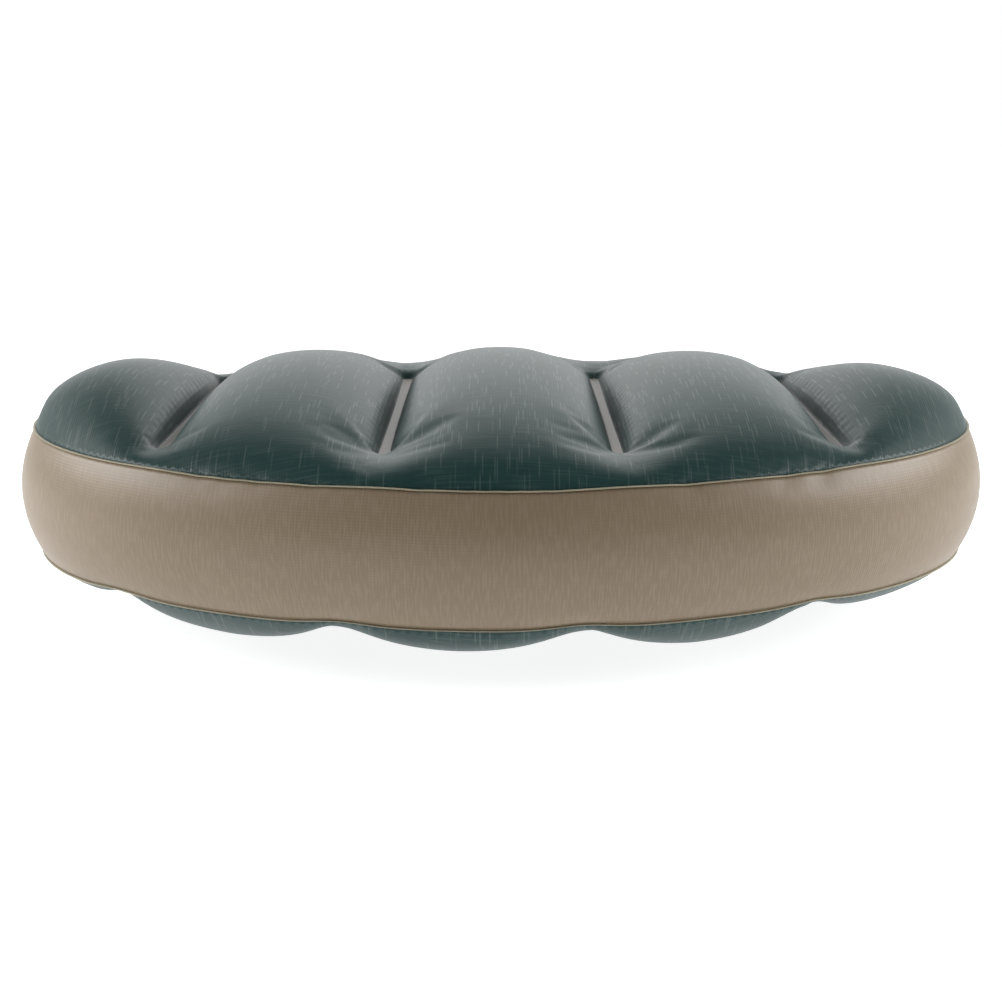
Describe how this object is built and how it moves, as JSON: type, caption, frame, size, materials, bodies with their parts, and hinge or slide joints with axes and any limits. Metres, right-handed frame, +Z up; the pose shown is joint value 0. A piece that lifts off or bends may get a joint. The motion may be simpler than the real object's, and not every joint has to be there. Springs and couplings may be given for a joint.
{
  "type": "inflatable camping pillow",
  "caption": "Oval inflatable pillow with lobed top and bottom panels, a bulging side band, inner baffles and a push-in air valve at the back.",
  "frame": {"origin": "on the ground under the middle of the pillow, at the bottom of its bounding box", "axes": "+X along the pillow's width, +Y to the rear where the valve is, +Z up"},
  "size_m": [0.5096, 0.3425, 0.1268],
  "materials": {
    "green_fabric": "coated fabric, satin",
    "taupe_fabric": "coated fabric, satin",
    "baffle_film": "matte film",
    "valve_vinyl": "soft moulded vinyl"
  },
  "bodies": {
    "pillow": {"top_panel": "green_fabric", "bottom_panel": "green_fabric", "side_band": "taupe_fabric", "baffle_1": "baffle_film", "baffle_2": "baffle_film", "baffle_3": "baffle_film", "baffle_4": "baffle_film", "valve_base": "valve_vinyl", "valve_skirt": "valve_vinyl"},
    "stem": {"valve_stem": "valve_vinyl", "valve_tether": "valve_vinyl"},
    "plug": {"valve_plug": "valve_vinyl"},
    "flap": {"valve_flap": "valve_vinyl"}
  },
  "joints": [
    {"name": "valve_pull_out", "type": "slide", "parent": "pillow", "child": "stem", "axis": [0, 1, 0], "range_m": [0, 0.015], "deforming": ["valve_skirt"]},
    {"name": "plug_open", "type": "hinge", "parent": "stem", "child": "plug", "pos_m": [0, 0.1698, 0.0544], "axis": [-1, 0, 0], "range_deg": [0, 120]},
    {"name": "flap_open", "type": "hinge", "parent": "stem", "child": "flap", "pos_m": [0, 0.1505, 0.0731], "axis": [-1, 0, 0], "range_deg": [0, 60], "stiffness_Nm_per_rad": 0.00005}
  ]
}
